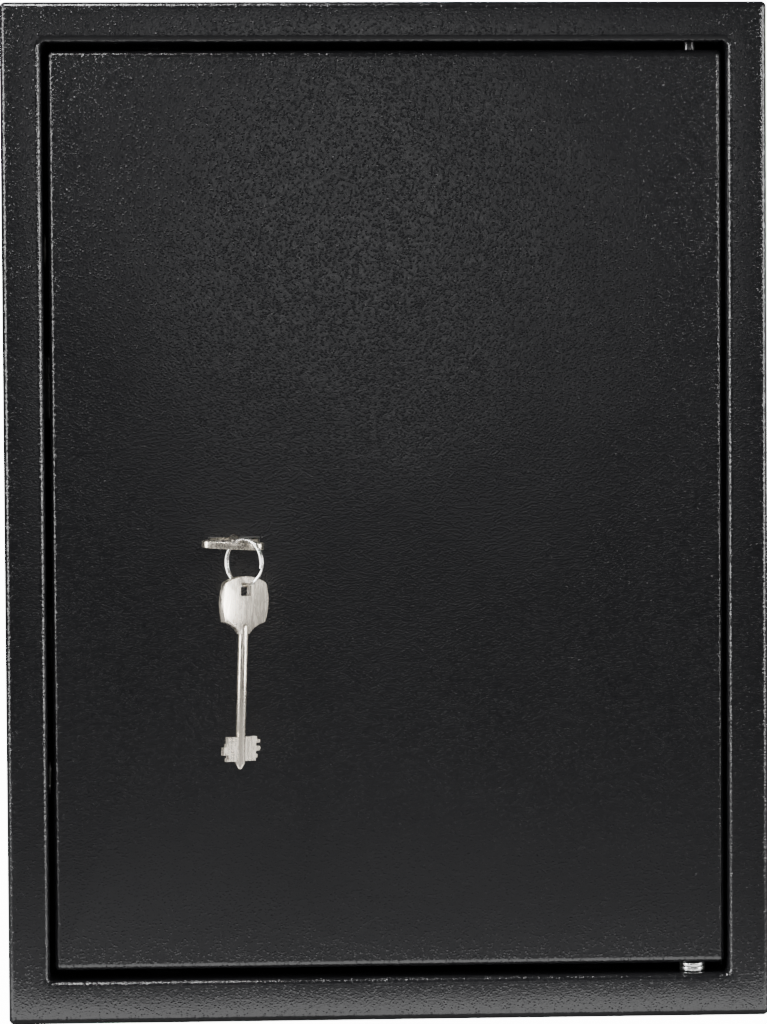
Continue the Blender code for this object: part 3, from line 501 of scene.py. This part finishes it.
def pan_screw(name, node):
    """A pan-head screw with a cross recess, its head towards +Y."""
    low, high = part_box(node)
    x, z = middle_of(node)
    head = high.y - 1.5 * MM
    point = low.y - head
    profile = [(point, 1.2 * MM), (point + 1 * MM, 2 * MM), (0, 2 * MM), (0, 3.85 * MM)]
    profile += [(0.15 * MM, 4 * MM), (0.55 * MM, 4 * MM), (0.95 * MM, 3.8 * MM), (1.25 * MM, 3.2 * MM)]
    profile += [(1.42 * MM, 2.3 * MM), (1.5 * MM, 1.2 * MM)]
    screw = thing(name, lathe(profile, (x, head, z), "Y", 40), ZINC)
    wide, thick, deep = 2.1 * MM, 0.42 * MM, 1.1 * MM
    tools = []
    for k, turn in enumerate((20, 110)):
        bm = bmesh.new()
        spin = Matrix.Translation((x, 0, z)) @ Matrix.Rotation(math.radians(turn), 4, "Y")
        loops = []
        for y, reach in ((high.y + 0.5 * MM, wide), (high.y - deep, wide * 0.35)):
            corners = ((-reach, -thick), (reach, -thick), (reach, thick), (-reach, thick))
            loops.append([bm.verts.new(spin @ Vector((a, y, b))) for a, b in corners])
        tools.append(thing(f"recess_{name}_{k}", stack(bm, loops), ZINC))
    return carve(screw, *tools)


for i, node in enumerate(COVER_SCREWS):
    belongs(pan_screw(f"cover_screw_fine_{i + 1}", node), "door", node)


def washer(kind):
    """A turned hinge washer with softened rims."""
    low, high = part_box(f"hinge_washer_{kind}")
    tall, outer, rim, edge = high.z - low.z, (high.x - low.x) / 2, 0.08 * MM, 0.3 * MM
    profile = [(edge, outer), (rim, outer - rim), (0, outer - edge), (0, PIN_HOLE + edge), (edge, PIN_HOLE)]
    profile += [(tall - edge, PIN_HOLE), (tall, PIN_HOLE + edge), (tall, outer - edge)]
    profile += [(tall - rim, outer - rim), (tall - edge, outer)]
    return thing(f"washer_{kind}", lathe(profile, (HINGE.x, HINGE.y, low.z), "Z", hollow=True), ZINC)


def turned_bolt(name):
    """A locking bolt with a rounded nose, turned down where it passes through its carrier."""
    low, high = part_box(f"bolt_{name}")
    nose, edge = 1.6 * MM, 0.4 * MM
    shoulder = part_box("bolt_carrier")[0].x - 0.3 * MM - low.x
    turns = [math.pi / 2 * (1 - k / 6) for k in range(7)]
    profile = [(0, BOLT_R - 2.2 * MM)]
    profile += [(nose - nose * math.sin(t), BOLT_R - nose + nose * math.cos(t)) for t in turns]
    profile += [(shoulder - edge, BOLT_R), (shoulder, BOLT_R - edge), (shoulder, BOLT_R / 2)]
    profile += [(high.x - low.x, BOLT_R / 2)]
    return thing(f"bolt_turned_{name}", lathe(profile, (low.x, BOLT_Y, (low.z + high.z) / 2), "X"), ZINC)


for kind in ("thick", "thin"):
    belongs(washer(kind), "case", f"hinge_washer_{kind}")
for name in ("upper", "lower"):
    belongs(turned_bolt(name), "boltwork", f"bolt_{name}")


# ---------------------------------------------------------------- keys and ring

def bow_points():
    """The bow's outline as (across, along) points, from the end of the bow to its neck and back."""
    half_w, rise, shoulder, neck, neck_half, bulge = (v * MM for v in (12.5, 2.9, 20.7, 26.2, 2.9, 1.7))
    throat_across, throat_along, tight = 4.6 * MM, 22.8 * MM, 0.9 * MM
    start = Vector((half_w, rise))
    half = [(half_w * i / 16, rise * (i / 16) ** 2) for i in range(1, 16)]
    half = [p for p in half if (Vector(p) - start).length > tight]
    first, last = Vector(half[-1]), start + Vector((bulge * 0.35, tight))
    half += [tuple(bezier(first, start, last, i / 6)) for i in range(1, 7)]
    for i in range(2, 12):
        t = i / 12
        half.append((half_w + bulge * 4 * t * (1 - t), rise + (shoulder - rise) * t))
    for i in range(13):
        t = i / 12
        across = bezier(half_w, throat_across, neck_half, t)
        half.append((across, bezier(shoulder, throat_along, neck, t)))
    return [(0, 0)] + half + [(-x, y) for x, y in reversed(half)]


# The bit's steps on each side: run along the key and reach from its axis, in mm.
STEPS_A = ((1.4, 9.5), (1.7, 11.5), (1.3, 9.0), (2.3, 11.5), (1.4, 9.0), (1.7, 10.0), (1.3, 9.0))
STEPS_B = ((3.0, 8.7), (1.5, 9.5), (3.6, 11.1), (1.5, 8.0), (1.5, 8.9))
BIT_FROM = 72.6 * MM


def bit_points():
    """The bit's outline as (across, along) points: down one side's steps and back up the other's."""
    points = []
    for sign, steps in ((1, STEPS_A), (-1, STEPS_B)):
        along = BIT_FROM
        side = []
        for run, reach in steps:
            side.append((sign * reach * MM, along))
            along += run * MM
            side.append((sign * reach * MM, along))
        points += side if sign > 0 else side[::-1]
    return points


def slot_tool():
    """Cuts the bow's rectangular slot, with both of its rims flared."""
    half, near, far = 3.15, 3.2, 8.8
    bm = bmesh.new()
    loops = []
    for height, grow in ((-2, 0.72), (-1.5, 0.22), (-1.28, 0), (1.28, 0), (1.5, 0.22), (2, 0.72)):
        wide, low, high = half + grow, near - grow, far + grow
        corners = ((-wide, low), (wide, low), (wide, high), (-wide, high))
        loops.append([bm.verts.new((x * MM, y * MM, height * MM)) for x, y in corners])
    return thing("slot_tool", stack(bm, loops), NICKEL)


def key(name, place):
    """A stamped bow with rounded edges, a round shank let into it and a stepped bit through the shank."""
    bow = slab(bow_points(), rounded_edges(1.5 * MM, 0.25 * MM))
    made = carve(thing(name, bow, NICKEL, sharp=38), slot_tool(), sharp=38)
    profile = ((20.9, 0.5), (21.2, 1.2), (21.9, 1.9), (22.8, 2.25), (84.9, 2.25))
    profile += ((85.1, 2.1), (87.0, 0.95), (87.25, 0.6), (87.3, 0.2))
    shank = lathe([(along * MM, radius * MM) for along, radius in profile], (0, 0, 0), "Y", 40)
    bit = slab(bit_points(), rounded_edges(0.9 * MM, 0.12 * MM, 1))
    whole = bmesh.new()
    whole.from_mesh(made.data)
    for extra in (shank, bit):
        bmesh.ops.recalc_face_normals(extra, faces=extra.faces)
        lump = bpy.data.meshes.new("lump")
        extra.to_mesh(lump)
        extra.free()
        whole.from_mesh(lump)
        bpy.data.meshes.remove(lump)
    whole.to_mesh(made.data)
    whole.free()
    made.data.shade_smooth()
    made.data.set_sharp_from_angle(angle=math.radians(38))
    made.matrix_world = place
    return made


key_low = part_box("key_in_lock")[0]
in_lock = Matrix.Translation((KEY_AXIS.x, key_low.y, KEY_AXIS.z)) @ Matrix.Rotation(math.radians(3), 4, "Y")
belongs(key("key_in_keyhole", in_lock), "key", "key_in_lock")

RING_AT = Vector(JOINT["ring_swing"]["pos_m"])
RING_YAW = math.radians(-41)
SPARE_YAW = math.radians(44)
SPARE_LEAN = math.radians(2.4)
HUNG_AT = 4.4 * MM        # from the end of the spare's bow to where it hangs on the ring
spare_place = (
    Matrix.Translation(JOINT["spare_swing"]["pos_m"])
    @ Matrix.Rotation(SPARE_YAW, 4, "Z")
    @ Matrix.Rotation(SPARE_LEAN, 4, "Y")
    @ Matrix.Rotation(math.radians(-90), 4, "X")
    @ Matrix.Translation((0, -HUNG_AT, 0))
)
belongs(key("key_hanging", spare_place), "spare", "spare_key")


def ring_of_wire():
    """Two turns of flat spring wire side by side, crossing over in a short jog."""
    radius, wire_r, wire_a, pitch, corner = (v * MM for v in (10.5, 1.2, 0.95, 1.05, 0.3))
    jog, end, turned_to = math.radians(20), math.radians(24), math.radians(-36)
    yaw = Matrix.Rotation(RING_YAW, 3, "Z")
    steps = 300
    section = []
    for sx, sz, turn in ((1, 1, 0), (-1, 1, 90), (-1, -1, 180), (1, -1, 270)):
        section += arc(sx * (wire_r / 2 - corner), sz * (wire_a / 2 - corner), corner, turn, turn + 90, 3)
    bm = bmesh.new()
    loops = []
    for i in range(steps + 1):
        angle = end + (4 * math.pi - 2 * end) * i / steps
        crossed = min(max((angle - 2 * math.pi + jog) / (2 * jog), 0), 1)
        across = (crossed ** 2 * (3 - 2 * crossed) - 0.5) * pitch
        out = Vector((math.cos(turned_to + angle), 0, math.sin(turned_to + angle)))
        points = [yaw @ (out * (radius + r) + Vector((0, across + a, 0))) for r, a in section]
        loops.append([bm.verts.new(RING_AT + point) for point in points])
    return thing("ring_of_wire", stack(bm, loops), WIRE, sharp=50)


belongs(ring_of_wire(), "ring", "split_ring")


# ---------------------------------------------------------------- inside

def shelf_pan():
    """The shelf: one sheet with its front edge folded up into a lip."""
    low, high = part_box("shelf")
    sheet, bend, edge, end = 1.5 * MM, 2.4 * MM, 0.3 * MM, 0.25 * MM
    lip, deep, inner = high.z - low.z, high.y - low.y, bend - sheet
    section = [(0, lip - edge)] + arc(bend, bend, bend, 180, 270, 8)
    section += [(deep - edge, 0), (deep, edge), (deep, sheet - edge), (deep - edge, sheet)]
    section += arc(bend, bend, inner, 270, 180, 5) + [(sheet, lip - edge), (sheet - edge, lip), (edge, lip)]
    bm = bmesh.new()
    loops = []
    for x, inset in ((low.x, end), (low.x + end, 0), (high.x - end, 0), (high.x, end)):
        loops.append([bm.verts.new((x, low.y + y, low.z + z)) for y, z in inset_polygon(section, inset)])
    return thing("shelf_pan", stack(bm, loops), COAT_INSIDE)


belongs(shelf_pan(), "case", "shelf")


def rim_of(grid):
    """The outer vertices of a grid of rows, once round."""
    right = [row[-1] for row in grid[:-1]]
    left = [row[0] for row in grid[:0:-1]]
    return grid[0][:-1] + right + grid[-1][:0:-1] + left


def floor_felt():
    """A cut piece of felt with soft edges, not quite flat."""
    low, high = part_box("base_mat")
    across, deep = 150, 50
    shoulder, drop, sag = 2.2 * MM, 1.1 * MM, 0.4 * MM
    bm = bmesh.new()
    bottom, top = [], []
    for grid in (bottom, top):
        for j in range(deep + 1):
            row = []
            for i in range(across + 1):
                x = low.x + (high.x - low.x) * i / across
                y = low.y + (high.y - low.y) * j / deep
                rim = min(x - low.x, high.x - x, y - low.y, high.y - y)
                soft = min(rim / shoulder, 1)
                wave = noise.noise(Vector((x * 30, y * 30, 0.7))) * 0.35 * MM
                rounded = (1 - math.sqrt(soft * (2 - soft))) * drop
                z = high.z - sag + wave - rounded if grid is top else low.z
                row.append(bm.verts.new((x, y, z)))
            grid.append(row)
    for grid in (bottom, top):
        for near, far in zip(grid, grid[1:]):
            for i in range(across):
                bm.faces.new((near[i], near[i + 1], far[i + 1], far[i]))
    bridge(bm, rim_of(bottom), rim_of(top))
    felt = thing("floor_felt", bm, FELT, sharp=60)
    belongs(felt, "case", "base_mat")


floor_felt()


# ---------------------------------------------------------------- stage, light, camera

WHITE = 14                # brighter than the picture can show


def area_light(name, place, aim, wide, tall, power, spread=120):
    """A lamp at PLACE that points at AIM and that the camera doesn't see."""
    data = bpy.data.lights.new(name, "AREA")
    data.shape = "RECTANGLE"
    data.size = wide
    data.size_y = tall
    data.energy = power
    data.spread = math.radians(spread)
    obj = bpy.data.objects.new(name, data)
    bpy.context.scene.collection.objects.link(obj)
    obj.location = place
    obj.rotation_mode = "QUATERNION"
    obj.rotation_quaternion = (Vector(aim) - Vector(place)).to_track_quat("-Z", "Y")
    obj.visible_camera = False


def seen_as(tree, seen, otherwise, output):
    """Shows SEEN to the camera, while OTHERWISE is what lights and is mirrored by everything."""
    ray = tree.nodes.new("ShaderNodeLightPath")
    mix = tree.nodes.new("ShaderNodeMixShader")
    tree.links.new(ray.outputs["Is Camera Ray"], mix.inputs["Fac"])
    tree.links.new(otherwise, mix.inputs[1])
    tree.links.new(seen, mix.inputs[2])
    tree.links.new(mix.outputs["Shader"], output.inputs["Surface"])


def floor():
    """A pale floor just under the safe. The camera sees it as white as the backdrop behind it."""
    reach, gap = 4, 0.2 * MM
    bm = bmesh.new()
    corners = ((-reach, -reach), (reach, -reach), (reach, reach), (-reach, reach))
    bm.faces.new([bm.verts.new((x, y, shell_low.z - gap)) for x, y in corners])
    made, tree, shader = shader_of("floor_pale", (0.3, 0.3, 0.3), 0.6, 0.0, 0.2)
    tint = ramp_node(tree, noise_node(tree, 40), ((0.2, 0.28), (0.8, 0.32)))
    tree.links.new(tint, shader.inputs["Base Color"])
    glow = tree.nodes.new("ShaderNodeEmission")
    glow.inputs["Strength"].default_value = WHITE
    glowing = tree.nodes.new("ShaderNodeAddShader")
    tree.links.new(shader.outputs["BSDF"], glowing.inputs[0])
    tree.links.new(glow.outputs["Emission"], glowing.inputs[1])
    seen_as(tree, glowing.outputs["Shader"], shader.outputs["BSDF"], tree.nodes["Material Output"])
    thing("floor", bm, made)


def studio_air():
    """An even dim light from all round, in front of a white backdrop."""
    world = bpy.data.worlds.new("studio")
    bpy.context.scene.world = world
    world.use_nodes = True
    tree = world.node_tree
    dim = tree.nodes["Background"]
    dim.inputs["Color"].default_value = (0.95, 0.97, 1.0, 1)
    dim.inputs["Strength"].default_value = 0.1
    backdrop = tree.nodes.new("ShaderNodeBackground")
    backdrop.inputs["Color"].default_value = (1, 1, 1, 1)
    backdrop.inputs["Strength"].default_value = WHITE
    seen_as(tree, backdrop.outputs["Background"], dim.outputs["Background"], tree.nodes["World Output"])


def lamps():
    """Small lamps in front, larger ones for the folded edges, two behind, and two low on the floor."""
    middle = (0, FRONT, 0)
    upper = (0, FRONT, 0.1)
    area_light("front_left", (-0.85, -1.6, 0.75), middle, 0.3, 0.3, 1.0)
    area_light("front_right", (0.85, -1.2, 0.4), upper, 0.1, 0.1, 1.6)
    area_light("edge_left", (-1.25, -0.7, 0.15), middle, 0.3, 1.3, 14)
    area_light("edge_right", (1.25, -0.68, 0.0), middle, 0.3, 1.4, 15)
    area_light("side_right", (1.25, -0.38, 0.0), middle, 1.2, 1.0, 1.15)
    area_light("high_left", (-0.7, -1.4, 0.8), upper, 0.16, 0.16, 2.6)
    area_light("edge_high", (-0.32, -0.52, 1.25), upper, 0.3, 0.25, 9)
    area_light("front", (0.05, -2.3, 0.34), upper, 0.5, 0.5, 0.75)
    area_light("behind_left", (-0.9, 1.5, 0.9), (0, 0, 0), 0.9, 0.9, 9)
    area_light("behind_right", (1.2, 1.3, 0.5), (0, 0, 0), 0.9, 0.9, 6)
    low = shell_low.z + 1 * MM
    for name, x, y, deep, power in (
        ("floor_bounce", -0.02, FRONT - 0.028, 0.05, 0.3),
        ("floor_glow", -0.05, FRONT - 0.2, 0.22, 0.07),
    ):
        area_light(name, (x, y, low), (x, y, 1), 0.5, deep, power, 180)


floor()
studio_air()
lamps()


def camera():
    """A little above and to the left of the safe's middle, and aimed at it."""
    pan, pitch, roll = -0.0393, -0.0312, 0.0063
    data = bpy.data.cameras.new("camera")
    data.sensor_width = 36
    data.lens = 112.3
    data.clip_start = 0.05
    cam = bpy.data.objects.new("camera", data)
    bpy.context.scene.collection.objects.link(cam)
    turn = Matrix.Rotation(pan, 4, "Z") @ Matrix.Rotation(pitch, 4, "X") @ Matrix.Rotation(roll, 4, "Y")
    upright = Matrix.Rotation(math.radians(90), 4, "X")
    cam.matrix_world = Matrix.Translation((-0.061, -1.65, 0.0475)) @ turn @ upright
    bpy.context.scene.camera = cam


camera()

bpy.context.view_layer.update()
